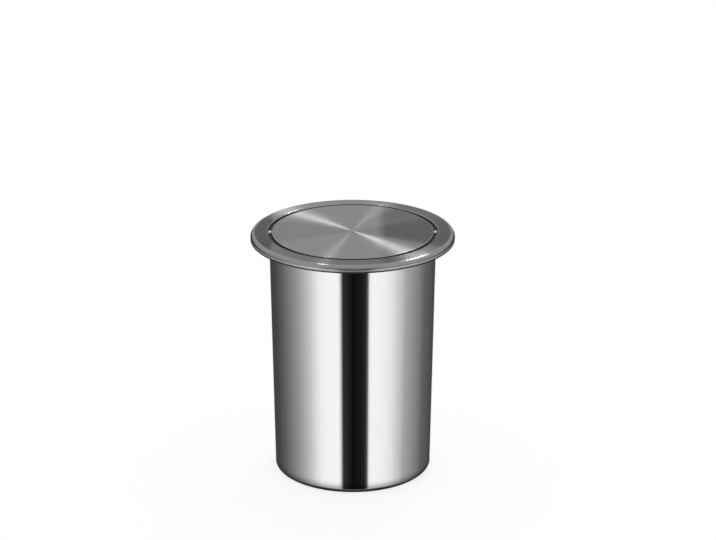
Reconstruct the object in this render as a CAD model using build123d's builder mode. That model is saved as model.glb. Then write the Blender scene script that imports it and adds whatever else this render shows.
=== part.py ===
"""Built-in countertop bin: a bucket hung in a worktop cut-out, a liner ring and a lid with a swing flap."""

import math
import os

from build123d import *

# Bucket
bucket_height = 340
rim_diameter = 240
base_diameter = 217
neck_height = 26
bead_diameter = 5.9
bead_flare = 0.3
bead_flare_drop = 0.8
bead_flare_bend = 1.5
bead_turn = 305
sheet = 0.6
base_corner = 6
base_lap = 6
base_skirt = 12
weld_gap = 0.05
wire_play = 0.1

# Liner ring, which lies on the bead and clamps a bag there
liner_overhang = 14
liner_lip_depth = 8
liner_step_overhang = 1.3
liner_step_height = 1.5
liner_step_run = 1.2
liner_edge_depth = 2
mouth_play = 0.5

# Lid frame
flange_overhang = 6
flange_fall = 1
flange_round = 6.5
shoulder_width = 3.9
opening_round = 1.5
bend = 1.4
inner_bend = 0.8
frame_neck_depth = 5
collar_depth = 26
collar_hem = 1.5
hem_turn = 260
collar_play = 0.5
gasket_foot = 3
gasket_width = 3.4
gasket_inset = 0.2
gasket_leg = 1.8
gasket_leg_width = 1.8
gasket_play = 0.3
recess_ring_height = 1.2
recess_play = 0.5
step_play = 0.9
bearing_width = 9
bearing_round = 0.4
bearing_floor = 0.6
bearing_top_gap = 0.9
bearing_play = 0.2

# Flap
flap_gap = 0.8
flap_rim_depth = 5.6
flap_round = 1.2
pan_depth = 44
pan_bottom_diameter = 176
pan_shoulder_width = 5.6
pan_play = 0.1
pan_corner = 5
pin_radius = 1.25
pin_play = 0.05
pin_top_gap = 0.15
pin_end_gap = 0.5
pin_hidden_length = 12
pin_chamfer = 0.3
clamp_width = 10
clamp_length = 13
clamp_depth = 3.6
weight_diameter = 70
weight_thickness = 8
weight_setback = 6
weight_screw_spread = 23
weight_screw_count = 3
screw_radius = 2.5
screw_play = 0.2
screw_head_radius = 4.6
screw_head_height = 2.6
screw_head_taper = 20
screw_tail = 1.5
nut_across_flats = 8
nut_height = 4
seat_gap = 0.02

# Rear stop under the flap's edge
stop_half_angle = 7
stop_reach = 6.1
stop_plate = 1
stop_leg = 12.2
stop_bumper_height = 3
stop_bumper_margin = 0.8
stop_gap = 0.3
stop_rivet_angle = 4
stop_rivet_drop = 7.2
rivet_radius = 1.5
rivet_head_radius = 2.6
rivet_head_height = 1.1
rivet_taper = 30
rivet_play = 0.05

# Radii that follow from the rim, going inwards
rim_radius = rim_diameter / 2
bead_radius = bead_diameter / 2
bead_centre_radius = rim_radius - bead_radius
mouth_radius = rim_radius - bead_diameter - bead_flare
liner_lip_outer = mouth_radius - mouth_play
liner_lip_inner = liner_lip_outer - sheet
collar_outer = liner_lip_inner - collar_play
collar_inner = collar_outer - sheet
flap_radius = collar_inner - flap_gap
flap_rim_inner = flap_radius - sheet
pan_rim_outer = flap_rim_inner - pan_play
pan_rim_inner = pan_rim_outer - sheet
pan_cone_top = pan_rim_outer - pan_shoulder_width
opening_radius = collar_outer + shoulder_width
liner_step_radius = rim_radius + liner_step_overhang
liner_radius = rim_radius + liner_overhang
flange_radius = liner_radius + flange_overhang
lip_inner = flange_radius - sheet
base_inner = base_diameter / 2 - sheet

# Heights that follow from the stack on the bead, going up
worktop_z = bucket_height - bead_diameter
bead_z = bucket_height - bead_radius
neck_z = worktop_z - neck_height
flare_z = worktop_z - bead_flare_drop
ledge_top = bucket_height + sheet
liner_top = ledge_top + liner_step_height
shoulder_top = ledge_top + sheet
pivot_z = shoulder_top + bearing_floor + pin_play + pin_radius
disc_under = pivot_z + pin_radius + pin_top_gap
lid_top = disc_under + sheet
flap_rim_bottom = lid_top - flap_rim_depth
pan_shoulder = flap_rim_bottom + pan_play
pan_bottom = lid_top - pan_depth
neck_bottom = shoulder_top - frame_neck_depth
collar_bottom = lid_top - collar_depth
flange_lip_bottom = worktop_z + gasket_foot

os.makedirs("parts", exist_ok=True)


def sheet_outline(corners, radii):
    """Closed outline of bent sheet: a filleted path with the sheet's thickness on its right-hand side."""
    with BuildLine(mode=Mode.PRIVATE) as outline:
        FilletPolyline(*corners, radius=radii)
        offset(amount=sheet, side=Side.RIGHT)
    return outline.edges()


def curled_outline(straight, centre, radius, start, turn):
    """Closed outline of sheet that ends in a curl, with its thickness on the path's right-hand side."""
    with BuildLine(mode=Mode.PRIVATE) as outline:
        add(straight)
        CenterArc(centre, radius, start, turn)
        offset(amount=sheet, side=Side.RIGHT)
    return outline.edges()


def finish(part, name):
    """Labels a finished piece and writes it."""
    part.label = name
    export_step(part, f"parts/{name}.step")


def inner_wall(height):
    """Inside radius of the tapered bucket wall at a height below the neck."""
    return base_inner + (mouth_radius - base_inner) * height / neck_z


# Bucket wall: inside face from the turned-in foot, up the taper and the neck, then leaning out into the bead
flare_rise = bead_z - flare_z
flare_reach = bead_centre_radius - mouth_radius
flare_lean = math.atan2(flare_reach, flare_rise) - math.asin(bead_radius / math.hypot(flare_reach, flare_rise))
bead_start = 180 - math.degrees(flare_lean)
bead_end = 180 - bead_turn
with BuildLine() as wall_path:
    FilletPolyline(
        (base_inner - base_corner - base_lap, sheet),
        (inner_wall(sheet), sheet),
        (mouth_radius, neck_z),
        (mouth_radius, flare_z),
        (bead_centre_radius - bead_radius * math.cos(flare_lean), bead_z + bead_radius * math.sin(flare_lean)),
        radius=[base_corner - sheet, neck_height, bead_flare_bend],
    )
with BuildPart() as bucket_wall:
    with BuildSketch(Plane.XZ):
        make_face(
            curled_outline(
                wall_path.line, (bead_centre_radius, bead_z), bead_radius, bead_start, bead_end - bead_start
            )
        )
    revolve(axis=Axis.Z)
finish(bucket_wall.part, "bucket_wall")

# Base pan: a shallow dish pressed into the wall's turned-in foot and seam-welded to it
with BuildPart() as bucket_base:
    with BuildSketch(Plane.XZ):
        make_face(
            sheet_outline(
                [
                    (inner_wall(base_skirt) - weld_gap, base_skirt),
                    (inner_wall(sheet) - weld_gap, sheet),
                    (0, sheet),
                ],
                [base_corner],
            )
        )
    revolve(axis=Axis.Z)
finish(bucket_base.part, "bucket_base")

# Wire that the bead is rolled round
with BuildPart() as rim_wire:
    with BuildSketch(Plane.XZ):
        with Locations((bead_centre_radius, bead_z)):
            Circle(bead_radius - sheet - wire_play)
    revolve(axis=Axis.Z)
finish(rim_wire.part, "rim_wire")

# Liner ring: lip in the mouth, ledge on the bead, step up to a flat flange with a turned-down edge
with BuildPart() as liner_ring:
    with BuildSketch(Plane.XZ):
        make_face(
            sheet_outline(
                [
                    (liner_lip_inner, ledge_top - liner_lip_depth),
                    (liner_lip_inner, ledge_top),
                    (liner_step_radius, ledge_top),
                    (liner_step_radius + liner_step_run, liner_top),
                    (liner_radius, liner_top),
                    (liner_radius, liner_top - liner_edge_depth),
                ],
                [bend, inner_bend, bend, bend],
            )
        )
    revolve(axis=Axis.Z)
finish(liner_ring.part, "liner_ring")

# Lid flange: neck inside the liner ring, shoulder on its ledge, recess wall, flange with a rounded edge
with BuildPart() as frame_flange:
    with BuildSketch(Plane.XZ):
        make_face(
            sheet_outline(
                [
                    (collar_inner, neck_bottom),
                    (collar_inner, shoulder_top),
                    (opening_radius, shoulder_top),
                    (opening_radius, lid_top),
                    (flange_radius, lid_top - flange_fall),
                    (flange_radius, flange_lip_bottom),
                ],
                [bend, inner_bend, opening_round, flange_round],
            )
        )
    revolve(axis=Axis.Z)
finish(frame_flange.part, "frame_flange")

# Where the two rivets of the rear stop go: planes whose x axis runs outwards through each rivet
rivet_z = neck_bottom - stop_rivet_drop
rivet_planes = [
    Plane(
        origin=(0, 0, rivet_z),
        x_dir=(0, 0, 1),
        z_dir=(math.sin(math.radians(a)), math.cos(math.radians(a)), 0),
    )
    for a in (-stop_rivet_angle, stop_rivet_angle)
]

# Collar: a band butt-welded under the flange's neck, its bottom edge rolled inwards
hem_z = collar_bottom + collar_hem
with BuildLine() as collar_path:
    Line((collar_outer, neck_bottom), (collar_outer, hem_z))
with BuildPart() as collar:
    with BuildSketch(Plane.XZ):
        make_face(
            curled_outline(collar_path.line, (collar_outer - collar_hem, hem_z), collar_hem, 0, -hem_turn)
        )
    revolve(axis=Axis.Z)
    with BuildSketch(*rivet_planes):
        Circle(rivet_radius + rivet_play)
    extrude(amount=flange_radius, mode=Mode.SUBTRACT)
finish(collar.part, "collar")

# Gasket: a foot between the flange's lip and the worktop, and a leg that grips inside the lip
gasket_outer = flange_radius - gasket_inset
gasket_leg_outer = lip_inner - gasket_play
with BuildPart() as flange_gasket:
    with BuildSketch(Plane.XZ):
        with BuildLine():
            Polyline(
                (gasket_outer - gasket_width, worktop_z),
                (gasket_outer, worktop_z),
                (gasket_outer, flange_lip_bottom),
                (gasket_leg_outer, flange_lip_bottom),
                (gasket_leg_outer, flange_lip_bottom + gasket_leg),
                (gasket_leg_outer - gasket_leg_width, flange_lip_bottom + gasket_leg),
                (gasket_leg_outer - gasket_leg_width, flange_lip_bottom),
                (gasket_outer - gasket_width, flange_lip_bottom),
                close=True,
            )
        make_face()
    revolve(axis=Axis.Z)
finish(flange_gasket.part, "flange_gasket")

# Recess ring: a plastic strip on the shoulder, broken at both pivot bearings
bearing_outer = opening_radius - step_play
recess_inner = flap_radius + recess_play
with BuildPart() as recess_ring:
    with BuildSketch(Plane.XY.offset(shoulder_top)):
        Circle(bearing_outer)
        Circle(recess_inner, mode=Mode.SUBTRACT)
        Rectangle(2 * flange_radius, bearing_width + 2 * bearing_play, mode=Mode.SUBTRACT)
    extrude(amount=recess_ring_height)
finish(recess_ring.part, "recess_ring")

# Pivot bearings: nylon blocks on the shoulder with an open-topped slot that the pin drops into
bearing_length = bearing_outer - recess_inner - 2 * bearing_play
bearing_height = lid_top - bearing_top_gap - shoulder_top
slot_radius = pin_radius + pin_play
slot_height = lid_top - pivot_z
for side, sign in (("left", -1), ("right", 1)):
    with BuildPart() as pivot_bearing:
        with BuildSketch(Plane.XY.offset(shoulder_top)):
            with Locations((sign * (recess_inner + bearing_play + bearing_length / 2), 0)):
                RectangleRounded(bearing_length, bearing_width, bearing_round)
        extrude(amount=bearing_height)
        with BuildSketch(Plane.YZ):
            with Locations((0, pivot_z)):
                Circle(slot_radius)
            with Locations((0, pivot_z + slot_height / 2)):
                Rectangle(2 * slot_radius, slot_height)
        extrude(amount=flange_radius, both=True, mode=Mode.SUBTRACT)
    finish(pivot_bearing.part, f"pivot_bearing_{side}")

# Rear stop: an angle bracket riveted inside the collar, with a rubber pad just under the flap's edge
stop_pad_top = flap_rim_bottom - stop_gap
stop_pad_bottom = stop_pad_top - stop_bumper_height
stop_outer = collar_inner - weld_gap
stop_inner = stop_outer - stop_reach
with BuildPart() as stop_bracket:
    with BuildSketch(Plane.XZ.rotated((0, 0, 90 - stop_half_angle))):
        with BuildLine():
            Polyline(
                (stop_inner, stop_pad_bottom - stop_plate),
                (stop_outer - stop_plate, stop_pad_bottom - stop_plate),
                (stop_outer - stop_plate, stop_pad_bottom - stop_leg),
                (stop_outer, stop_pad_bottom - stop_leg),
                (stop_outer, stop_pad_bottom),
                (stop_inner, stop_pad_bottom),
                close=True,
            )
        make_face()
    revolve(axis=Axis.Z, revolution_arc=2 * stop_half_angle)
    with BuildSketch(*rivet_planes):
        Circle(rivet_radius + rivet_play)
    extrude(amount=flange_radius, mode=Mode.SUBTRACT)
finish(stop_bracket.part, "stop_bracket")

pad_half_angle = stop_half_angle - math.degrees(stop_bumper_margin / stop_outer)
with BuildPart() as stop_bumper:
    with BuildSketch(Plane.XZ.rotated((0, 0, 90 - pad_half_angle))):
        with BuildLine():
            Polyline(
                (stop_inner + stop_bumper_margin, stop_pad_bottom),
                (stop_outer - stop_bumper_margin, stop_pad_bottom),
                (stop_outer - stop_bumper_margin, stop_pad_top),
                (stop_inner + stop_bumper_margin, stop_pad_top),
                close=True,
            )
        make_face()
    revolve(axis=Axis.Z, revolution_arc=2 * pad_half_angle)
finish(stop_bumper.part, "stop_bumper")

# Two rivets, flush with the collar's outside and domed inside
rivet_seat = stop_outer - stop_plate - weld_gap
with BuildPart() as stop_rivets:
    for plane in rivet_planes:
        with BuildSketch(plane.offset(rivet_seat)):
            Circle(rivet_radius)
        extrude(amount=collar_outer - weld_gap - rivet_seat)
        with BuildSketch(plane.offset(rivet_seat)):
            Circle(rivet_head_radius)
        extrude(amount=-rivet_head_height, taper=rivet_taper)
finish(stop_rivets.part, "stop_rivets")

# Flap disc: brushed top with a turned-down rim that is notched for both pins
pin_outer_end = opening_radius - pin_end_gap
with BuildPart() as flap_disc:
    with BuildSketch(Plane.XZ):
        make_face(
            sheet_outline(
                [(0, lid_top), (flap_radius, lid_top), (flap_radius, flap_rim_bottom)],
                [flap_round],
            )
        )
    revolve(axis=Axis.Z)
    with BuildSketch(Plane.YZ):
        with Locations((0, pivot_z)):
            Circle(slot_radius)
    extrude(amount=flange_radius, both=True, mode=Mode.SUBTRACT)
finish(flap_disc.part, "flap_disc")

# Flap pan: its wall stands inside the disc's rim, then a shoulder and a deep cone with a flat bottom
with BuildPart() as flap_pan:
    with BuildSketch(Plane.XZ):
        make_face(
            sheet_outline(
                [
                    (pan_rim_outer, disc_under - flap_round),
                    (pan_rim_outer, pan_shoulder),
                    (pan_cone_top, pan_shoulder),
                    (pan_bottom_diameter / 2, pan_bottom),
                    (0, pan_bottom),
                ],
                [bend, bend, pan_corner],
            )
        )
    revolve(axis=Axis.Z)
    with BuildSketch(Plane.YZ):
        with Locations((0, pivot_z)):
            Circle(slot_radius)
        with Locations((0, pivot_z + slot_height / 2)):
            Rectangle(2 * slot_radius, slot_height)
    extrude(amount=flange_radius, both=True, mode=Mode.SUBTRACT)
    with BuildSketch(Plane.XY.offset(pan_bottom)):
        with Locations((0, weight_setback)):
            with PolarLocations(weight_screw_spread, weight_screw_count):
                Circle(screw_radius + screw_play)
    extrude(amount=sheet, mode=Mode.SUBTRACT)
finish(flap_pan.part, "flap_pan")

# Pins and the clamps that hold them against the underside of the disc
clamp_outer = pan_rim_inner - bearing_play
pin_inner_end = clamp_outer - pin_hidden_length
for side, sign in (("left", -1), ("right", 1)):
    with BuildPart() as pin_clamp:
        with BuildSketch(Plane.XY.offset(disc_under - clamp_depth)):
            with Locations((sign * (clamp_outer - clamp_length / 2), 0)):
                Rectangle(clamp_length, clamp_width)
        extrude(amount=clamp_depth)
        with BuildSketch(Plane.YZ):
            with Locations((0, pivot_z)):
                Circle(pin_radius + seat_gap)
            with Locations((0, pivot_z + slot_height / 2)):
                Rectangle(2 * (pin_radius + seat_gap), slot_height)
        extrude(amount=flange_radius, both=True, mode=Mode.SUBTRACT)
    finish(pin_clamp.part, f"pin_clamp_{side}")

    with BuildPart() as pivot_pin:
        with BuildSketch(Plane.YZ.offset(sign * pin_inner_end)):
            with Locations((0, pivot_z)):
                Circle(pin_radius)
        extrude(amount=sign * (pin_outer_end - pin_inner_end))
        chamfer(pivot_pin.edges().filter_by(GeomType.CIRCLE), pin_chamfer)
    finish(pivot_pin.part, f"pivot_pin_{side}")

# Counterweight: an iron disc on the pan's floor, set back so that the flap closes onto its stop
weight_bottom = pan_bottom + sheet
weight_top = weight_bottom + weight_thickness
with BuildPart() as counterweight:
    with BuildSketch(Plane.XY.offset(weight_bottom)):
        with Locations((0, weight_setback)):
            Circle(weight_diameter / 2)
            with PolarLocations(weight_screw_spread, weight_screw_count):
                Circle(screw_radius + screw_play, mode=Mode.SUBTRACT)
    extrude(amount=weight_thickness)
finish(counterweight.part, "counterweight")

# Three screws up through the pan and the weight, with a nut on each
with BuildPart() as weight_screws:
    with BuildSketch(Plane.XY.offset(pan_bottom)):
        with Locations((0, weight_setback)):
            with PolarLocations(weight_screw_spread, weight_screw_count):
                Circle(screw_head_radius)
    extrude(amount=-screw_head_height, taper=screw_head_taper)
    with BuildSketch(Plane.XY.offset(pan_bottom)):
        with Locations((0, weight_setback)):
            with PolarLocations(weight_screw_spread, weight_screw_count):
                Circle(screw_radius)
    extrude(amount=weight_top + nut_height + screw_tail - pan_bottom)
finish(weight_screws.part, "weight_screws")

with BuildPart() as weight_nuts:
    with BuildSketch(Plane.XY.offset(weight_top)):
        with Locations((0, weight_setback)):
            with PolarLocations(weight_screw_spread, weight_screw_count):
                RegularPolygon(nut_across_flats / 2, 6, major_radius=False)
                Circle(screw_radius + seat_gap, mode=Mode.SUBTRACT)
    extrude(amount=nut_height)
finish(weight_nuts.part, "weight_nuts")
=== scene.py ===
import math

import bmesh
import bpy
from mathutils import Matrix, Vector


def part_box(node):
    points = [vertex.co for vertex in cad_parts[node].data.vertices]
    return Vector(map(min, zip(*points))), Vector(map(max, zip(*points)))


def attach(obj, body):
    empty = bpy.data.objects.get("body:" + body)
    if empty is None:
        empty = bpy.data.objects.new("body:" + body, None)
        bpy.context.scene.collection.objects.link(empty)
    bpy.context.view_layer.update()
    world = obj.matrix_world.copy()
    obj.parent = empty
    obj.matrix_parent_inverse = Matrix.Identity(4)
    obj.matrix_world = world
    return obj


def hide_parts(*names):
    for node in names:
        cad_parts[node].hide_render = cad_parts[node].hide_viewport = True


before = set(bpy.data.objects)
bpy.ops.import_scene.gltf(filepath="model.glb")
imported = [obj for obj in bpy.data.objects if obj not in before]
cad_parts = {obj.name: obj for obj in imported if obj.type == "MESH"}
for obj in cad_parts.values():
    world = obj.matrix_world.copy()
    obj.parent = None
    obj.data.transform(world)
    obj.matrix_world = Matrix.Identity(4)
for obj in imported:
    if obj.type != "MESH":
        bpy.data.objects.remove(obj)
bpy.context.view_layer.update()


# Bucket wall
# Stainless sheet rolled to a slight cone, welded up the back and polished like a mirror outside.
# The foot is turned in under the base, the rim is rolled outwards over a wire, and the inside is dark.
sheet = 0.0006
wire_low, wire_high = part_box("rim_wire")
rim_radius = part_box("bucket_wall")[1].x
bead_z = (wire_low.z + wire_high.z) / 2
bead_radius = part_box("bucket_wall")[1].z - bead_z
bead_centre = rim_radius - bead_radius
bead_turn = math.radians(305)
bead_set_out = 0.0003
mouth_radius = bead_centre - bead_radius - bead_set_out
neck_z = 0.3081
neck_bend = 0.026
flare_z = 0.3333
flare_bend = 0.0015
foot_radius = 0.1079
foot_bend = 0.0084
foot_edge = 0.0959
foot_shade = (0.003, 0.019)
seam_width = 0.0011
bead_underside = (-0.9 * bead_radius, -0.6 * bead_radius)
bead_crown = (0.35 * bead_radius, 0.8 * bead_radius)
bead_left_end = (-0.082, -0.058)
bead_right_end = (0.087, 0.108)
reflection_stripe_middle = 0.007
reflection_stripe_half_width = (0.034, 0.045)
streak_inner = (0.036, 0.046)
streak_outer = (0.06, 0.074)
painted_inside_shade = (0.03, 0.03, 0.029, 1.0)
painted_inside_reflection = (0.17, 0.175, 0.2, 1.0)
full_turn = 2 * math.pi
merge_distance = 0.000002
spun_crease = math.radians(40)


class Value:
    """A socket in a node tree. Arithmetic on it adds Math nodes."""

    def __init__(self, tree, socket):
        self.tree = tree
        self.socket = socket

    def math(self, operation, *others):
        return self.tree.math(operation, self, *others)

    def __add__(self, other):
        return self.math("ADD", other)

    __radd__ = __add__

    def __sub__(self, other):
        return self.math("SUBTRACT", other)

    def __rsub__(self, other):
        return self.tree.math("SUBTRACT", other, self)

    def __mul__(self, other):
        return self.math("MULTIPLY", other)

    __rmul__ = __mul__

    def __truediv__(self, other):
        return self.math("DIVIDE", other)

    def __gt__(self, other):
        return self.math("GREATER_THAN", other)

    def __lt__(self, other):
        return self.math("LESS_THAN", other)


class Made:
    """A new node, whose outputs are picked by name or number."""

    def __init__(self, tree, node):
        self.tree = tree
        self.node = node

    def __getitem__(self, key):
        return Value(self.tree, self.node.outputs[key])


class Tree:
    """The nodes of one finish, of one shape or of the studio."""

    def __init__(self, tree):
        self.tree = tree

    def node(self, kind, settings=None, sockets=None):
        made = self.tree.nodes.new(kind)
        for name, value in (settings or {}).items():
            if name == "stops":
                self.set_stops(made.color_ramp, value)
            else:
                setattr(made, name, value)
        for key, value in (sockets or {}).items():
            if isinstance(value, Value):
                self.tree.links.new(value.socket, made.inputs[key])
            else:
                made.inputs[key].default_value = value
        return Made(self, made)

    def set_stops(self, ramp, stops):
        """Grey levels along a ramp, as pairs of place and level."""
        ramp.elements[0].position = stops[0][0]
        ramp.elements[1].position = stops[-1][0]
        for place, _ in stops[1:-1]:
            ramp.elements.new(place)
        for element, (_, level) in zip(ramp.elements, stops):
            element.color = (level, level, level, 1.0)

    def math(self, operation, *values):
        return self.node("ShaderNodeMath", {"operation": operation}, dict(enumerate(values)))["Value"]

    def smooth(self, value, low, high):
        """0 at low, 1 at high, and a smooth step between."""
        ends = {"Value": value, "From Min": low, "From Max": high}
        return self.node("ShaderNodeMapRange", {"interpolation_type": "SMOOTHSTEP"}, ends)["Result"]

    def mix(self, factor, first, second):
        return self.node("ShaderNodeMix", {"data_type": "RGBA"}, {0: factor, 6: first, 7: second})[2]

    def vector(self, x, y, z):
        return self.node("ShaderNodeCombineXYZ", None, {"X": x, "Y": y, "Z": z})["Vector"]

    def noise(self, vector, scale, detail=3.0, roughness=0.5):
        sockets = {"Vector": vector, "Scale": scale, "Detail": detail, "Roughness": roughness}
        return self.node("ShaderNodeTexNoise", None, sockets)["Fac"]

    def bump(self, height, distance, strength=1.0):
        sockets = {"Height": height, "Distance": distance, "Strength": strength}
        return self.node("ShaderNodeBump", None, sockets)["Normal"]

    def place(self):
        """Object coordinates."""
        return self.node("ShaderNodeTexCoord")["Object"]

    def split(self, vector):
        """The three numbers of a vector."""
        parts = self.node("ShaderNodeSeparateXYZ", None, {"Vector": vector})
        return parts["X"], parts["Y"], parts["Z"]

    def radius(self, vector):
        """Distance of a place from the upright axis."""
        x, y, _ = self.split(vector)
        return (x * x + y * y).math("SQRT")

    def along_section(self):
        """0 to 1 along a spun piece's section: first its right-hand face, then its left-hand face."""
        return self.split(self.node("ShaderNodeUVMap", {"uv_map": "UVMap"})["UV"])[1]


def finish(name, build):
    """A material with one Principled shader, whose sockets get what build returns."""
    material = bpy.data.materials.new(name)
    material.use_nodes = True
    material.node_tree.nodes.clear()
    tree = Tree(material.node_tree)
    shader = tree.node("ShaderNodeBsdfPrincipled", None, build(tree))
    tree.node("ShaderNodeOutputMaterial", None, {"Surface": shader["BSDF"]})
    return material


def grey(level, warmth=0.0):
    """An opaque grey, a little warmer or cooler."""
    return (level * (1 + warmth), level, level * (1 - warmth), 1.0)


def polished(tree, tone=0.92):
    """Mirror-polished steel: faint turning lines, a slow wave in the sheet, and smudges from hands."""
    vector = tree.place()
    x, y, z = tree.split(vector)
    lines = tree.noise(tree.vector(x * 3, y * 3, z * 1400), 1.0, 3.0, 0.6)
    wave = tree.noise(tree.vector(x, y, z * 0.35), 11.0, 1.0)
    smudge = tree.smooth(tree.noise(vector, 16.0, 4.0, 0.65), 0.5, 0.8)
    height = lines * 0.0000003 + wave * 0.00004
    return {
        "Base Color": tree.mix(smudge, grey(tone, -0.006), grey(tone * 0.95, -0.004)),
        "Metallic": 1.0,
        "Roughness": 0.02 + smudge * 0.04 + lines * 0.02,
        "Normal": tree.bump(height, 1.0, 0.6),
    }


def bucket_finish(tree):
    """Polished outside with a foot darkened by a painted reflection of its shadow and a faint weld up
    the back; inside, a near-black glossy colour as painted shade with two paler painted reflections as
    streaks. The bead has a painted highlight on top and painted dark reflection below in the middle and
    at both ends."""
    sockets = polished(tree)
    vector = tree.place()
    x, y, z = tree.split(vector)
    # Painted shade: the foot is darkened towards the bottom, where it would mirror its own shadow on the
    # floor.
    foot = (1 - tree.smooth(z, *foot_shade)) * 0.78
    outside = tree.mix(foot, sockets["Base Color"], grey(0.0))
    # Painted light on the bead: a painted highlight along its top, painted dark reflection on its
    # underside in the middle, and darker ends.
    bead = tree.smooth(z - bead_z, *bead_underside)
    bead_painted_highlight = tree.smooth(z - bead_z, *bead_crown)
    ends = 0.14 + tree.smooth(x, *bead_left_end) * (1 - tree.smooth(x, *bead_right_end)) * 0.86
    sides = tree.smooth((x - reflection_stripe_middle).math("ABSOLUTE"), *reflection_stripe_half_width)
    bead_painted_light = (bead_painted_highlight * 0.97 + (1 - bead_painted_highlight) * (0.02 + sides * 0.48)) * ends
    outside = tree.mix(bead, outside, tree.mix(bead_painted_light, grey(0.0), grey(1.0)))
    # Painted shade inside: the wall is near-black there, with two paler streaks that are painted
    # reflections.
    inside = (tree.along_section() > 0.5) * (tree.radius(vector) < bead_centre) * (z < bead_z)
    off = x.math("ABSOLUTE") + tree.noise(tree.vector(x, y, z * 0.1), 30.0, 1.0) * 0.012
    streak = tree.smooth(off, *streak_inner) * (1 - tree.smooth(off, *streak_outer)) * (y > 0)
    streak = streak * (0.6 + (x < 0) * 0.4)
    painted_inside_tone = tree.mix(streak, painted_inside_shade, painted_inside_reflection)
    weld = (1 - tree.smooth(x.math("ABSOLUTE"), seam_width * 0.5, seam_width)) * (y > 0) * (1 - inside)
    ripple = tree.noise(tree.vector(x * 200, y, z * 900), 1.0, 2.0)
    sockets["Base Color"] = tree.mix(inside, outside, painted_inside_tone)
    sockets["Metallic"] = 1 - inside
    duller = inside * (0.12 + streak * 0.06) + weld * 0.09 + bead * 0.12
    sockets["Roughness"] = sockets["Roughness"] + duller
    sockets["Normal"] = tree.node("ShaderNodeBump", None, {
        "Height": weld * (0.5 + ripple * 0.5),
        "Distance": 0.00003,
        "Normal": sockets["Normal"],
    })["Normal"]
    return sockets


def bent_sheet(corners, radii, curl_radius=0.0, curl=0.0):
    """Outline of bent sheet in radius and height. The path has rounded corners and may end in a curl,
    and the sheet lies on its right. The outline starts with that side, run backwards."""
    face = []
    margin = 0.0003
    arc_step = math.radians(8)

    def add_bend(point, heading, radius, turn):
        side = math.copysign(radius, turn)
        centre = point - side * across(heading)
        steps = max(2, math.ceil(abs(turn) / arc_step))
        for k in range(1, steps):
            normal = across(heading + turn * k / steps)
            face.append((centre + side * normal, normal))
        return centre + side * across(heading + turn)

    def across(heading):
        return Vector((math.sin(heading), -math.cos(heading)))

    at = Vector(corners[0])
    for i in range(1, len(corners)):
        corner = Vector(corners[i])
        heading = math.atan2(corner.y - at.y, corner.x - at.x)
        last = i == len(corners) - 1
        turn = 0.0
        if not last:
            after = Vector(corners[i + 1]) - corner
            turn = (math.atan2(after.y, after.x) - heading + math.pi) % full_turn - math.pi
        along = (corner - at).normalized()
        end = corner if last else corner - along * radii[i - 1] * math.tan(abs(turn) / 2)
        length = (end - at).length
        stops = [0.0, margin, length - margin, length] if length > 4 * margin else [0.0, length]
        face += [(at + along * stop, across(heading)) for stop in stops]
        at = end if last else add_bend(end, heading, radii[i - 1], turn)
    if curl:
        at = add_bend(at, heading, curl_radius, curl)
        face.append((at, across(heading + curl)))
    other = [point + normal * sheet for point, normal in face]
    return other[::-1] + [point for point, _ in face]


def inputs(group, kinds):
    """Gives a Geometry Nodes group its output and named inputs. Returns the inputs' identifiers."""
    group.interface.new_socket("Piece", in_out="OUTPUT", socket_type="NodeSocketGeometry")
    identifiers = {}
    for name, kind in kinds.items():
        made = group.interface.new_socket(name, in_out="INPUT", socket_type=f"NodeSocket{kind}")
        identifiers[name] = made.identifier
    return identifiers


def finished(tree, geometry, material):
    """Ends a Geometry Nodes tree: real copies, with their material."""
    real = tree.node("GeometryNodeRealizeInstances", None, {"Geometry": geometry})["Geometry"]
    done = tree.node("GeometryNodeSetMaterial", None, {"Geometry": real, "Material": material})
    tree.node("NodeGroupOutput", None, {"Piece": done["Geometry"]})


def spin_tree():
    """Geometry Nodes that carry a section, kept as points, round the upright axis from the back."""
    group = bpy.data.node_groups.new("spun_sheet", "GeometryNodeTree")
    sizes = inputs(group, {
        "Section": "Geometry",
        "Segments": "Int",
        "Closed": "Int",
        "Finish": "Material",
    })
    tree = Tree(group)
    given = tree.node("NodeGroupInput")
    section_size = tree.node("GeometryNodeAttributeDomainSize", None, {"Geometry": given["Section"]})
    points = section_size["Point Count"]
    rows = points + given["Closed"]
    grid = tree.node("GeometryNodeMeshGrid", None, {
        "Size X": 1.0,
        "Size Y": 1.0,
        "Vertices X": given["Segments"] + 1,
        "Vertices Y": rows,
    })
    index = tree.node("GeometryNodeInputIndex")["Index"]
    column = ((index + 0.5) / rows).math("FLOOR")
    row = index - column * rows
    section = tree.node("GeometryNodeSampleIndex", {"data_type": "FLOAT_VECTOR"}, {
        "Geometry": given["Section"],
        "Value": tree.node("GeometryNodeInputPosition")["Position"],
        "Index": row * (row < points - 0.5),
    })["Value"]
    radius, _, height = tree.split(section)
    angle = column * full_turn / given["Segments"]
    spun = tree.node("GeometryNodeSetPosition", None, {
        "Geometry": grid["Mesh"],
        "Position": tree.vector(radius * angle.math("SINE"), radius * angle.math("COSINE"), height),
    })["Geometry"]
    mapped = tree.node("GeometryNodeStoreNamedAttribute", {"data_type": "FLOAT2", "domain": "CORNER"}, {
        "Geometry": spun,
        "Name": "UVMap",
        "Value": grid["UV Map"],
    })["Geometry"]
    merged = tree.node("GeometryNodeMergeByDistance", None, {
        "Geometry": mapped,
        "Distance": merge_distance,
    })["Geometry"]
    rounded = tree.node("GeometryNodeSetShadeSmooth", {"domain": "FACE"}, {"Geometry": merged})
    bend = tree.node("GeometryNodeInputMeshEdgeAngle")["Unsigned Angle"]
    creased = tree.node("GeometryNodeSetShadeSmooth", {"domain": "EDGE"}, {
        "Geometry": rounded["Geometry"],
        "Selection": bend > spun_crease,
        "Shade Smooth": False,
    })
    finished(tree, creased["Geometry"], given["Finish"])
    return group, sizes


spun_sheet, spun_sizes = spin_tree()


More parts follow.
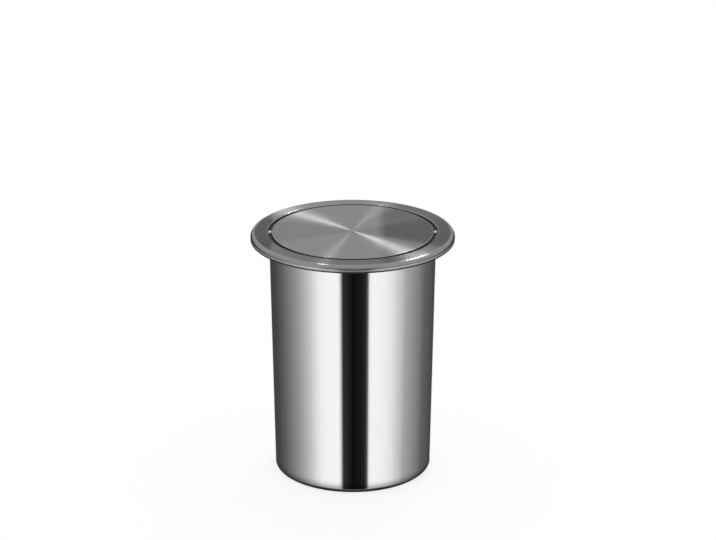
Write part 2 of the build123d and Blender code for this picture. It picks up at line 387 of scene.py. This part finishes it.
def evaluated(name, base, group, settings):
    """A plain mesh object, as Geometry Nodes make it from a base mesh, with its faces outwards."""
    piece = bpy.data.objects.new(name, base)
    bpy.context.scene.collection.objects.link(piece)
    shaping = piece.modifiers.new("shaping", "NODES")
    shaping.node_group = group
    for identifier, value in settings.items():
        shaping[identifier] = value
    graph = bpy.context.evaluated_depsgraph_get()
    mesh = bpy.data.meshes.new_from_object(piece.evaluated_get(graph))
    piece.modifiers.clear()
    piece.data = mesh
    mesh.name = name
    volume = bmesh.new()
    volume.from_mesh(mesh)
    if volume.calc_volume(signed=True) < 0:
        mesh.flip_normals()
    volume.free()
    return piece


def spin(name, outline, material, segments=384):
    """A piece of revolution from its section's outline, closed unless it starts and ends on the axis."""
    base = bpy.data.meshes.new(name + "_section")
    base.from_pydata([(point.x, 0.0, point.y) for point in outline], [], [])
    closed = 0 if outline[0].x < sheet and outline[-1].x < sheet else 1
    return evaluated(name, base, spun_sheet, {
        spun_sizes["Segments"]: segments,
        spun_sizes["Closed"]: closed,
        spun_sizes["Finish"]: material,
    })


def wall_radius(height):
    """Inside radius of the tapered wall at a height below the neck."""
    return foot_radius + (mouth_radius - foot_radius) * height / neck_z


reach = bead_centre - mouth_radius
rise = bead_z - flare_z
lean = math.atan2(reach, rise) - math.asin(bead_radius / math.hypot(reach, rise))
wall_outline = bent_sheet(
    [
        (foot_edge, sheet),
        (wall_radius(sheet), sheet),
        (mouth_radius, neck_z),
        (mouth_radius, flare_z),
        (bead_centre - bead_radius * math.cos(lean), bead_z + bead_radius * math.sin(lean)),
    ],
    [foot_bend, neck_bend, flare_bend],
    bead_radius,
    lean - bead_turn,
)
bucket_wall = spin("bucket_wall_polished", wall_outline, finish("polished_steel_bucket", bucket_finish))
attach(bucket_wall, "bucket")
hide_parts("bucket_wall")


# Bucket base
# A shallow stainless dish pressed into the wall's foot and welded all round from below.
# Its upper side has the same near-black painted shade as the inside of the wall, with faint rings from
# the press tool.
base_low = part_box("bucket_base")[0]
base_skirt = 0.012
base_bend = 0.009
weld_gap = 0.00005


def base_finish(tree):
    """Near-black painted shade above, and matt pressed steel with turning rings below."""
    sockets = polished(tree, 0.62)
    vector = tree.place()
    inside = tree.along_section() < 0.5
    rings = tree.noise(tree.vector(tree.radius(vector) * 900, 0.0, 0.0), 1.0, 3.0)
    cloud = tree.noise(vector, 18.0, 3.0)
    # Painted shade: the upper side is near-black, with random cloudy tone.
    painted_inside_tone = tree.mix(cloud, painted_inside_shade, grey(0.03))
    sockets["Base Color"] = tree.mix(inside, sockets["Base Color"], painted_inside_tone)
    sockets["Metallic"] = 1 - inside
    sockets["Roughness"] = 0.16 + cloud * 0.1 + rings * 0.08
    sockets["Normal"] = tree.bump(rings, 0.00001)
    return sockets


base_outline = bent_sheet(
    [
        (wall_radius(base_skirt) - weld_gap, base_skirt),
        (wall_radius(sheet) - weld_gap, base_low.z),
        (0.0, base_low.z),
    ],
    [base_bend],
)
base_steel = finish("pressed_steel_base", base_finish)
bucket_base = spin("bucket_base_pressed", base_outline, base_steel, segments=256)
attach(bucket_base, "bucket")
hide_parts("bucket_base")


# Rim wire
# A drawn steel wire, bent to a closed hoop. The bead is rolled round it to stiffen the mouth, so it
# only shows in the curl's slit.
def plain_steel(tree):
    """Rolled or drawn steel, left as it comes from the mill."""
    vector = tree.place()
    x, y, z = tree.split(vector)
    grain = tree.noise(tree.vector(x * 60, y * 60, z * 900), 1.0, 4.0, 0.6)
    stain = tree.noise(vector, 40.0, 3.0)
    return {
        "Base Color": tree.mix(stain, grey(0.46), grey(0.6)),
        "Metallic": 1.0,
        "Roughness": 0.3 + grain * 0.14,
        "Normal": tree.bump(grain, 0.000012),
    }


def dress(node, material):
    """Gives a construction node its finish in all its material slots."""
    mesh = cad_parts[node].data
    mesh.materials.clear()
    mesh.materials.append(material)


mill_steel = finish("mill_steel", plain_steel)
dress("rim_wire", mill_steel)


# Liner ring
# Polished stainless pressed with a lip that drops into the bucket's mouth, a ledge that lies on the
# bead and clamps a bag there, and a step up to a flat flange that the lid sits over.
ring_low, ring_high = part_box("liner_ring")
nest_play = 0.0005
ring_lip = mouth_radius - nest_play - sheet
ring_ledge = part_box("bucket_wall")[1].z + sheet
rim_play = 0.0013
ring_step = rim_radius + rim_play
ring_step_run = 0.0012
ring_fall = 0.0004
ring_edge_depth = 0.002
ring_bend = 0.0014
ring_step_bend = 0.0008
ring_shade_right = (0.08, 0.118)
ring_shade_front = (0.008, 0.058)
ring_step_shadow = (0.0005, 0.0011)
ring_ledge_end = (ring_step - 0.0004, ring_step)
ring_edge_shade = (ring_high.x - 0.002, ring_high.x - 0.0008)


def ring_finish(tree):
    """Bright satin steel with painted shade and reflection: a darker ledge, dark lines in the step and
    at the edge, and darker tones at the right and in front."""
    vector = tree.place()
    x, y, _ = tree.split(vector)
    radius = tree.radius(vector)
    turned = tree.noise(tree.vector(radius * 1800, x / radius, y / radius), 1.0, 3.0, 0.6)
    # Painted shade and reflection: darker at the right end, in front, on the ledge, in a painted shadow
    # line at the step, and at the outer edge.
    right = 1 - tree.smooth(x, *ring_shade_right) * 0.88
    near = 1 - (1 - tree.smooth(x.math("ABSOLUTE"), *ring_shade_front)) * (y < 0) * 0.55
    lip = radius < ring_lip + sheet * 2
    ledge = 1 - (1 - tree.smooth(radius, *ring_ledge_end)) * (0.65 - lip * 0.45)
    corner = (radius - ring_step - ring_step_run * 0.5).math("ABSOLUTE")
    line = 1 - (1 - tree.smooth(corner, *ring_step_shadow)) * 0.8
    edge = 1 - tree.smooth(radius, *ring_edge_shade) * 0.5
    tone = right * near * ledge * line * edge - turned * 0.03
    return {
        "Base Color": tree.mix(tone, grey(0.03), grey(0.97)),
        "Metallic": 1.0,
        "Roughness": 0.17 + turned * 0.05 + lip * 0.3,
        "Normal": tree.bump(turned, 0.000001),
    }


ring_outline = bent_sheet(
    [
        (ring_lip, ring_low.z),
        (ring_lip, ring_ledge),
        (ring_step, ring_ledge),
        (ring_step + ring_step_run, ring_high.z),
        (ring_high.x, ring_high.z - ring_fall),
        (ring_high.x, ring_high.z - ring_fall - ring_edge_depth),
    ],
    [ring_bend, ring_step_bend, ring_bend, ring_bend],
)
liner_ring = spin("liner_ring_polished", ring_outline, finish("polished_steel_ring", ring_finish))
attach(liner_ring, "liner_ring")
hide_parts("liner_ring")


# Lid flange
# The lid's fixed frame, spun from stainless: a neck inside the liner ring, a shoulder on its ledge,
# the wall of the round recess, and a gently falling flange with a big rounded edge, brushed in rings.
flange_low, flange_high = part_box("frame_flange")
disc_low, disc_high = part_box("flap_disc")
lid_top = disc_high.z
lid_neck_depth = 0.005
neck_inner = ring_lip - nest_play - sheet
shoulder_top = ring_ledge + sheet
shoulder_run = 0.0039
shoulder_bend = 0.0014
opening_radius = neck_inner + sheet + shoulder_run
recess_bend = 0.0008
recess_edge_bend = 0.0015
flange_fall = 0.001
flange_edge_bend = 0.006
lip_lean = 0.00034
lip_lean_depth = 0.0014
lip_lean_bend = 0.001
lip_painted_highlight = (flange_low.z + 0.00192, flange_low.z + 0.00288)
edge_blend = 0.0012
flange_flat = (opening_radius + 0.0018, flange_high.x - 0.0062)
right_shade = (0.03, 0.048)
sector_front = (-0.58, -0.4)
sector_back = (0.8, 0.93)
front_shade = (0.07, 0.03)
front_shade_end = (0.098, 0.08)
side_shade = (0.82, 0.98)
left_shade = (-disc_high.x + 0.004, -disc_high.x - 0.004)


def brushed(tree, inner, outer, front_painted_shade):
    """Stainless brushed in circles between two radii, which draws lamps out into bright wedges, with
    polished edges.
    Painted shade makes it darker at the right, at both far sides, and in front by front_painted_shade,
    and a painted highlight lightens the lowest band of the flange's lip."""
    vector = tree.place()
    x, y, z = tree.split(vector)
    radius = tree.radius(vector)
    edge = 1 - tree.smooth(radius, inner - edge_blend, inner)
    edge = edge + tree.smooth(radius, outer, outer + edge_blend)
    fine = tree.noise(tree.vector(radius * 3800, x / radius * 3, y / radius * 3), 1.0, 4.0, 0.65)
    broad = tree.noise(tree.vector(radius * 520, x / radius * 0.6, y / radius * 0.6), 1.0, 3.0, 0.6)
    patch = tree.noise(vector, 12.0, 3.0)
    sector = tree.smooth(y / radius, *sector_front) * (1 - tree.smooth(y / radius, *sector_back))
    # Painted shade: darker toward the right (more in a sector), in front, at both far sides, and at the
    # left beyond the disc.
    shade = tree.smooth(x, *right_shade) * (0.18 + sector * 0.22)
    shade = shade + tree.smooth(y, *front_shade) * tree.smooth(x, *front_shade_end) * front_painted_shade
    shade = shade + tree.smooth((x / radius).math("ABSOLUTE"), *side_shade) * 0.2
    shade = shade + tree.smooth(x, *left_shade) * 0.3
    tone = (fine * 0.6 + broad * 0.4) * 0.45 + 0.4 - shade
    # Painted highlight: the lowest band of the lip is near-white, the rolled edge above it darker.
    lip = 1 - tree.smooth(z, *lip_painted_highlight)
    flat = tree.mix(tone, grey(0.09), grey(0.5))
    rolled = tree.mix(lip, grey(0.36), grey(0.96))
    return {
        "Base Color": tree.mix(edge, flat, rolled),
        "Metallic": 1.0,
        "Specular Tint": grey(0.7),
        "Roughness": 0.17 + (1 - edge) * (0.06 + broad * 0.04 + patch * 0.02) + edge * lip * 0.33,
        "Anisotropic": 1.0,
        "Anisotropic Rotation": 0.25,
        "Normal": tree.bump(fine * 0.3 + broad * 0.7, 0.000003),
    }


flange_finish = finish("brushed_steel_flange", lambda tree: brushed(tree, *flange_flat, 0.3))
flange_outline = bent_sheet(
    [
        (neck_inner, shoulder_top - lid_neck_depth),
        (neck_inner, shoulder_top),
        (opening_radius, shoulder_top),
        (opening_radius, lid_top),
        (flange_high.x, lid_top - flange_fall),
        (flange_high.x, flange_low.z + lip_lean_depth),
        (flange_high.x - lip_lean, flange_low.z),
    ],
    [shoulder_bend, recess_bend, recess_edge_bend, flange_edge_bend, lip_lean_bend],
)
lid_flange = spin("lid_flange_brushed", flange_outline, flange_finish)
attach(lid_flange, "lid_frame")
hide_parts("frame_flange")


# Collar
# A stainless band butt-welded under the flange's neck, with its bottom edge rolled inwards.
# It is left as rolled, and only shows when the lid is lifted out.
collar_low, collar_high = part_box("collar")
hem_radius = 0.0015
hem_turn = math.radians(260)
hem_z = collar_low.z + hem_radius
heat_mark = (0.0005, 0.0025)


def collar_finish(tree):
    """Bright rolled steel, painted darker at the front on the left as shade, with lines along the band
    and brown heat marks by the weld."""
    x, y, z = tree.split(tree.place())
    lines = tree.noise(tree.vector(x * 3, y * 3, z * 2200), 1.0, 4.0, 0.6)
    weld = 1 - tree.smooth(collar_high.z - z, *heat_mark)
    # Painted shade: the band is darker at the front on the left.
    front_left_shade = tree.smooth(x, -0.004, -0.02) * tree.smooth(y, 0.03, -0.03)
    rolled = tree.mix(front_left_shade, grey(0.88), grey(0.42))
    return {
        "Base Color": tree.mix(weld * 0.4, rolled, (0.4, 0.35, 0.29, 1.0)),
        "Metallic": 1.0,
        "Roughness": 0.42 + lines * 0.14 + weld * 0.08,
        "Normal": tree.bump(lines, 0.000004),
    }


collar_outline = bent_sheet(
    [(collar_high.x, collar_high.z), (collar_high.x, hem_z)],
    [],
    hem_radius,
    -hem_turn,
)
collar = spin("collar_band", collar_outline, finish("rolled_steel_collar", collar_finish))
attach(collar, "lid_frame")
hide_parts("collar")


# Flange gasket
# One black rubber extrusion, closed to a hoop: its leg grips inside the flange's lip and its foot
# lies between the lip and the worktop. The foot's edges are slightly round.
gasket_low, gasket_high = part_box("flange_gasket")
foot_top = flange_low.z
leg_play = 0.0006
leg_width = 0.0018
leg_outer = flange_high.x - sheet - leg_play
leg_inner = leg_outer - leg_width
foot_width = 0.0034
foot_inner = gasket_high.x - foot_width
edge_round = 0.0005


def rubber(tree):
    """Matt black rubber with a fine moulded skin and some dust."""
    vector = tree.place()
    skin = tree.noise(vector, 2600.0, 3.0, 0.6)
    dust = tree.smooth(tree.noise(vector, 60.0, 5.0, 0.7), 0.55, 0.8)
    return {
        "Base Color": tree.mix(dust * 0.4, grey(0.012), grey(0.035)),
        "Roughness": 0.5 + dust * 0.2,
        "Normal": tree.bump(skin, 0.00002),
    }


def rounded_section(corners, radius, steps=3):
    """Closed outline in radius and height with every corner rounded."""
    points = []
    count = len(corners)
    for i in range(count):
        corner = Vector(corners[i])
        back = (Vector(corners[i - 1]) - corner).normalized()
        ahead = (Vector(corners[(i + 1) % count]) - corner).normalized()
        for k in range(steps + 1):
            share = k / steps
            points.append(corner + (back * (1 - share) ** 2 + ahead * share ** 2) * radius)
    return points


gasket_outline = rounded_section(
    [
        (foot_inner, gasket_low.z),
        (gasket_high.x, gasket_low.z),
        (gasket_high.x, foot_top),
        (leg_outer, foot_top),
        (leg_outer, gasket_high.z),
        (leg_inner, gasket_high.z),
        (leg_inner, foot_top),
        (foot_inner, foot_top),
    ],
    edge_round,
)
black_rubber = finish("black_rubber", rubber)
gasket = spin("flange_gasket_rubber", gasket_outline, black_rubber)
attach(gasket, "lid_frame")
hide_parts("flange_gasket")


# Recess ring
# Two black plastic strips that lie on the shoulder in the gap round the flap, one on each side of
# the pivots. They cover the steel below the gap so that it shows black, a dark part standing in for
# painted shade there, and quieten the flap.
def black_plastic(tree):
    """Extruded black plastic with a satin skin."""
    skin = tree.noise(tree.place(), 1200.0, 3.0)
    return {
        "Base Color": tree.mix(skin, grey(0.006), grey(0.012)),
        "Roughness": 0.5 + skin * 0.12,
        "Specular IOR Level": 0.25,
        "Normal": tree.bump(skin, 0.00001),
    }


# Near-black, as painted shade in the gap round the flap.
dress("recess_ring", finish("black_plastic_strip", black_plastic))


# Pivot bearings
# Two small moulded nylon blocks, glued to the shoulder at the far left and right. Each has an
# open-topped slot that a pin drops into.
def nylon(tree):
    """Natural nylon: waxy, off-white, with a fine moulded grain."""
    grain = tree.noise(tree.place(), 900.0, 3.0)
    return {
        "Base Color": tree.mix(grain, (0.3, 0.3, 0.28, 1.0), (0.4, 0.4, 0.38, 1.0)),
        "Roughness": 0.42,
        "Subsurface Weight": 0.1,
        "Subsurface Radius": (0.001, 0.001, 0.0008),
        "Normal": tree.bump(grain, 0.00001),
    }


natural_nylon = finish("natural_nylon", nylon)
for side in ("left", "right"):
    dress(f"pivot_bearing_{side}", natural_nylon)


# Rear stop
# A bent steel angle riveted inside the collar, with a rubber pad that the flap's rear edge closes on.
# The rivets are flush outside and domed inside.
dress("stop_bracket", mill_steel)
dress("stop_bumper", black_rubber)
bracket_sheet = 0.001
rivet_low, rivet_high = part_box("stop_rivets")
rivet_count = 2
rivet_angle = math.radians(4)
rivet_radius = 0.0015
rivet_head = 0.0026
rivet_dome = 0.0011
turned_crease = math.radians(35)


def copies_tree():
    """Geometry Nodes that set copies of one piece round an upright axis."""
    group = bpy.data.node_groups.new("copies_round", "GeometryNodeTree")
    sizes = inputs(group, {
        "Unit": "Geometry",
        "Count": "Int",
        "Start": "Float",
        "Step": "Float",
        "Centre": "Vector",
        "Finish": "Material",
    })
    tree = Tree(group)
    given = tree.node("NodeGroupInput")
    points = tree.node("GeometryNodePoints", None, {
        "Count": given["Count"],
        "Position": given["Centre"],
    })["Points"]
    turn = given["Start"] + given["Step"] * tree.node("GeometryNodeInputIndex")["Index"]
    copies = tree.node("GeometryNodeInstanceOnPoints", None, {
        "Points": points,
        "Instance": given["Unit"],
        "Rotation": tree.vector(0.0, 0.0, turn),
    })["Instances"]
    finished(tree, copies, given["Finish"])
    return group, sizes


copies_round, copies_sizes = copies_tree()


def turned_unit(name, rings, sides=32):
    """A closed turned part standing on the upright axis. A ring is height, radius and the corners that
    its outline is pulled to, with 0 for a plain circle."""
    form = bmesh.new()
    loops = []
    for height, radius, corners in rings:
        loop = []
        for k in range(sides):
            angle = full_turn * k / sides
            reach = radius
            if corners:
                wedge = full_turn / corners
                reach = radius * math.cos(wedge / 2) / math.cos(angle % wedge - wedge / 2)
            loop.append(form.verts.new((reach * math.cos(angle), reach * math.sin(angle), height)))
        loops.append(loop)
    for lower, upper in zip(loops, loops[1:]):
        for k in range(sides):
            form.faces.new((lower[k], lower[(k + 1) % sides], upper[(k + 1) % sides], upper[k]))
    form.faces.new(loops[0][::-1])
    form.faces.new(loops[-1])
    for face in form.faces:
        face.smooth = len(face.verts) == 4
    for edge in form.edges:
        edge.smooth = edge.calc_face_angle(0.0) < turned_crease
    mesh = bpy.data.meshes.new(name)
    form.to_mesh(mesh)
    form.free()
    return mesh


rivet_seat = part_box("stop_bracket")[1].y - bracket_sheet - weld_gap
rivet_z = (rivet_low.z + rivet_high.z) / 2
rivet = turned_unit("rivet", [
    (neck_inner + sheet - weld_gap - rivet_seat, rivet_radius, 0),
    (0.0, rivet_radius, 0),
    (0.0, rivet_head, 0),
    (-rivet_dome * 0.35, rivet_head * 0.93, 0),
    (-rivet_dome * 0.7, rivet_head * 0.74, 0),
    (-rivet_dome * 0.93, rivet_head * 0.42, 0),
    (-rivet_dome, rivet_head * 0.12, 0),
])
for vertex in rivet.vertices:
    across, up, out = vertex.co
    vertex.co = (rivet_seat + out, across, up)
rivets = evaluated("stop_rivets_domed", rivet, copies_round, {
    copies_sizes["Count"]: rivet_count,
    copies_sizes["Start"]: math.pi / 2 - rivet_angle,
    copies_sizes["Step"]: 2 * rivet_angle,
    copies_sizes["Centre"]: (0.0, 0.0, rivet_z),
    copies_sizes["Finish"]: mill_steel,
})
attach(rivets, "lid_frame")
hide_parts("stop_rivets")


# Flap disc
# The lid's swinging top: a flat stainless disc, brushed in circles like the flange round it, with
# its rim turned down over the pan.
disc_bend = 0.0012
disc_outline = bent_sheet(
    [(0.0, lid_top), (disc_high.x, lid_top), (disc_high.x, disc_low.z)],
    [disc_bend],
)
no_hole = -1.0
disc_flat = (no_hole, disc_high.x - 0.0016)
disc_finish = finish("brushed_steel_disc", lambda tree: brushed(tree, *disc_flat, 0.0))
flap_disc = spin("flap_disc_brushed", disc_outline, disc_finish)
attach(flap_disc, "flap")
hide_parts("flap_disc")


# Flap pan
# A deep stainless dish under the disc that carries the counterweight. Its wall stands inside the
# disc's rim, then comes a shoulder, a cone and a flat bottom.
pan_low, pan_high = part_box("flap_pan")
pan_play = 0.0001
pan_shoulder = disc_low.z + pan_play
pan_cone_top = pan_high.x - 0.0056
pan_bottom_radius = 0.088
pan_bend = 0.0014
pan_bottom_bend = 0.005
pan_front = (0.02, -0.02)
pan_lit_side = (0.03, 0.062)
pan_outline = bent_sheet(
    [
        (pan_high.x, pan_high.z),
        (pan_high.x, pan_shoulder),
        (pan_cone_top, pan_shoulder),
        (pan_bottom_radius, pan_low.z),
        (0.0, pan_low.z),
    ],
    [pan_bend, pan_bend, pan_bottom_bend],
)


def pan_finish(tree):
    """Bright spun steel, darker in clouds, with painted shade in front and a painted highlight at the
    front on the right.
    """
    vector = tree.place()
    x, y, z = tree.split(vector)
    rings = tree.noise(tree.vector((tree.radius(vector) + z) * 1500, x * 2, y * 2), 1.0, 4.0, 0.6)
    cloud = tree.noise(vector, 22.0, 4.0, 0.6)
    # Painted light: the front is darker, and its right-hand part brighter as a painted highlight.
    front = tree.smooth(y, *pan_front)
    lit = tree.smooth(x, *pan_lit_side)
    tone = (0.36 + cloud * 0.12) * (1 - front * (1 - lit) * 0.3) + front * lit * 0.5
    return {
        "Base Color": tree.mix(tone, grey(0.0), grey(1.0)),
        "Metallic": 1.0,
        "Roughness": 0.36 + rings * 0.1 + cloud * 0.06,
        "Normal": tree.bump(rings, 0.000006),
    }


flap_pan = spin("flap_pan_spun", pan_outline, finish("spun_steel_pan", pan_finish))
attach(flap_pan, "flap")
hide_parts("flap_pan")


# Pivot pins and clamps
# Turned steel pins, held against the underside of the disc by folded clamps. Their bright ends
# cross the gap at both sides and lie in the bearings.
def turned_steel(tree):
    """Bright turned steel with tool lines round the pin."""
    x, y, z = tree.split(tree.place())
    lines = tree.noise(tree.vector(x * 9000, y * 40, z * 40), 1.0, 2.0)
    return {
        "Base Color": grey(0.8),
        "Metallic": 1.0,
        "Roughness": 0.12 + lines * 0.1,
        "Normal": tree.bump(lines, 0.000004),
    }


bright_pin = finish("turned_steel_pin", turned_steel)
for side in ("left", "right"):
    dress(f"pin_clamp_{side}", mill_steel)
    dress(f"pivot_pin_{side}", bright_pin)


# Counterweight
# A disc of cast iron under a thin dark paint. It is screwed to the pan's floor, and set back so that
# the flap closes onto its stop by itself.
def cast_iron(tree):
    """Sand-cast iron under a thin dark paint."""
    vector = tree.place()
    sand = tree.noise(vector, 700.0, 5.0, 0.7)
    rust = tree.smooth(tree.noise(vector, 90.0, 5.0, 0.7), 0.6, 0.72)
    return {
        "Base Color": tree.mix(rust, grey(0.03), (0.09, 0.045, 0.025, 1.0)),
        "Roughness": 0.55 + rust * 0.25,
        "Normal": tree.bump(sand, 0.0002),
    }


dress("counterweight", finish("painted_cast_iron", cast_iron))


# Weight screws and nuts
# Three steel screws go up through the pan and the weight, each with a nut. Their low domed heads
# have a six-sided socket and show under the pan.
screw_low, screw_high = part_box("weight_screws")
nut_low, nut_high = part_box("weight_nuts")
head_radius = 0.0046
head_bottom = screw_low.z - pan_low.z
screw_radius = 0.0025
screw_top = screw_high.z - pan_low.z
screw_chamfer = 0.0005
screw_spread = screw_high.x - head_radius
weight_setback = (screw_low.y + screw_high.y) / 2
socket_radius = 0.0023
socket_depth = 0.0015
nut_half_width = 0.004
nut_radius = nut_half_width / math.cos(math.pi / 6)
nut_height = nut_high.z - nut_low.z
nut_chamfer = 0.0003
fixing_sides = 48
fixing_count = 3
screw = turned_unit("screw", [
    (screw_top, screw_radius * 0.8, 0),
    (screw_top - screw_chamfer, screw_radius, 0),
    (0.0, screw_radius, 0),
    (0.0, head_radius, 0),
    (-0.0007, head_radius * 0.985, 0),
    (-0.0015, head_radius * 0.9, 0),
    (-0.0022, head_radius * 0.75, 0),
    (head_bottom, head_radius * 0.6, 0),
    (head_bottom, socket_radius, 6),
    (head_bottom + socket_depth, socket_radius, 6),
], fixing_sides)
nut = turned_unit("nut", [
    (0.0, nut_radius * 0.92, 6),
    (nut_chamfer, nut_radius, 6),
    (nut_height - nut_chamfer, nut_radius, 6),
    (nut_height, nut_radius * 0.92, 6),
], fixing_sides)
for unit, name, replaced, level in (
    (screw, "weight_screws_socket", "weight_screws", pan_low.z),
    (nut, "weight_nuts_hex", "weight_nuts", nut_low.z),
):
    for vertex in unit.vertices:
        vertex.co.x += screw_spread
    fixings = evaluated(name, unit, copies_round, {
        copies_sizes["Count"]: fixing_count,
        copies_sizes["Start"]: 0.0,
        copies_sizes["Step"]: full_turn / fixing_count,
        copies_sizes["Centre"]: (0.0, weight_setback, level),
        copies_sizes["Finish"]: mill_steel,
    })
    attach(fixings, "flap")
    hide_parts(replaced)


# Studio
# A pale floor, soft light from all round, and two soft lamps above: a wide one behind on the right
# and a small one high on the left. Dark and pale panels stand all round for the polished steel.
scene = bpy.context.scene
scene.view_settings.view_transform = "Standard"
floor_size = 60.0
floor_drop = 0.0002
bpy.ops.mesh.primitive_plane_add(size=floor_size, location=(0.0, 0.0, -floor_drop))
floor = bpy.context.object
floor.name = "studio_floor"
floor.visible_glossy = False
floor_finish = bpy.data.materials.new("pale_floor")
floor_finish.use_nodes = True
floor_finish.node_tree.nodes.clear()
tree = Tree(floor_finish.node_tree)
seen = tree.node("ShaderNodeLightPath")["Is Camera Ray"]
paper = tree.node("ShaderNodeBsdfDiffuse", None, {"Color": grey(1.0)})
white = tree.node("ShaderNodeEmission", None, {"Color": grey(1.0), "Strength": 1.0})
blend = tree.node("ShaderNodeMixShader", None, {0: seen * 0.8, 1: paper["BSDF"], 2: white["Emission"]})
tree.node("ShaderNodeOutputMaterial", None, {"Surface": blend["Shader"]})
floor.data.materials.append(floor_finish)

# How bright the panels are, by degrees round from the front towards the right.
panels = [
    (-180, 0.85),
    (-166, 0.85),
    (-163, 0.05),
    (-135, 0.065),
    (-118, 0.11),
    (-102, 0.19),
    (-88, 0.28),
    (-76, 0.4),
    (-64, 0.57),
    (-54, 0.78),
    (-46, 0.92),
    (-36, 0.98),
    (-20, 0.98),
    (-17.5, 0.68),
    (-14, 0.03),
    (0, 0.004),
    (12, 0.01),
    (18, 0.02),
    (21, 0.1),
    (24, 0.9),
    (28, 0.98),
    (46, 0.93),
    (59, 0.8),
    (64, 0.69),
    (74, 0.53),
    (80, 0.4),
    (92, 0.31),
    (106, 0.22),
    (121, 0.12),
    (163, 0.05),
    (166, 0.85),
    (180, 0.85),
]
world = bpy.data.worlds.new("studio")
scene.world = world
world.use_nodes = True
world.node_tree.nodes.clear()
tree = Tree(world.node_tree)
way_right, way_back, way_up = tree.split(tree.node("ShaderNodeTexCoord")["Generated"])
bearing = tree.math("ARCTAN2", way_right, 0 - way_back) * (180 / math.pi)
stops = [(degrees / 360 + 0.5, brightness) for degrees, brightness in panels]
ring_of_panels = tree.node("ShaderNodeValToRGB", {"stops": stops}, {"Fac": bearing / 360 + 0.5})["Color"]

# The world by height, from -1 straight down to 1 straight up: dark ground, then the panels, duller in
# front just below the horizon, and a bright roof that is duller ahead and brighter behind.
turn = bearing.math("ABSOLUTE")
front = tree.smooth(bearing, -40.0, -30.0) * (1 - tree.smooth(bearing, 58.0, 70.0))
panel = ring_of_panels * (1 - front * tree.smooth(way_up, -0.22, -0.1) * 0.65)
ground = tree.smooth(way_up, -0.92, -0.86) * (1 - tree.smooth(turn, 20.0, 60.0)) * 0.35 + 0.07
panel = panel + (ground - panel) * (1 - tree.smooth(way_up, -0.76, -0.68))
ahead = (1 - tree.smooth(turn, 22.0, 42.0)) * (1 - tree.smooth(way_up, 0.5, 0.8))
behind = tree.smooth(turn, 163.0, 174.0) * (1 - tree.smooth(way_up, 0.45, 0.8))
roof = (0.7 + behind * 0.17) * (1 - ahead * 0.38)
level = roof + (panel - roof) * tree.smooth(way_up, 0.15, 0.06)
reflected = tree.vector(level, level, level)
path = tree.node("ShaderNodeLightPath")
glossy = path["Is Glossy Ray"]
seen = path["Is Camera Ray"] + path["Is Transmission Ray"]
light = tree.mix(glossy, grey(0.95), reflected)
colour = tree.mix(seen.math("MINIMUM", 1.0), light, grey(1.0))
background = tree.node("ShaderNodeBackground", None, {"Color": colour, "Strength": 1.0})
tree.node("ShaderNodeOutputWorld", None, {"Surface": background["Background"]})

lid_middle = Vector((0.0, 0.0, 0.45))
lamp_distance = 2.5
for name, direction, size, power in (
    ("wide_lamp", (0.256, 0.695, 0.665), 0.3, 8.0),
    ("small_lamp", (-0.152, 0.544, 0.825), 0.1, 1.7),
):
    lamp = bpy.data.lights.new(name, "AREA")
    lamp.shape = "SQUARE"
    lamp.size = size
    lamp.energy = power
    stand = bpy.data.objects.new(name, lamp)
    scene.collection.objects.link(stand)
    away = Vector(direction).normalized()
    stand.location = lid_middle + away * lamp_distance
    stand.rotation_euler = away.to_track_quat("Z", "Y").to_euler()

# Camera at the photograph's height and distance, looking down at the bin from the front.
camera_distance = 4.0
camera_aim = 0.34
camera_aside = 0.0073
camera_rise = math.radians(19.4)
camera_dip = math.radians(20.097)
lens = bpy.data.cameras.new("camera")
lens.lens = 147.07
lens.sensor_width = 36.0
camera = bpy.data.objects.new("camera", lens)
scene.collection.objects.link(camera)
camera.location = (
    camera_aside,
    -camera_distance * math.cos(camera_rise),
    camera_aim + camera_distance * math.sin(camera_rise),
)
camera.rotation_euler = (math.pi / 2 - camera_dip, 0.0, 0.0)
scene.camera = camera
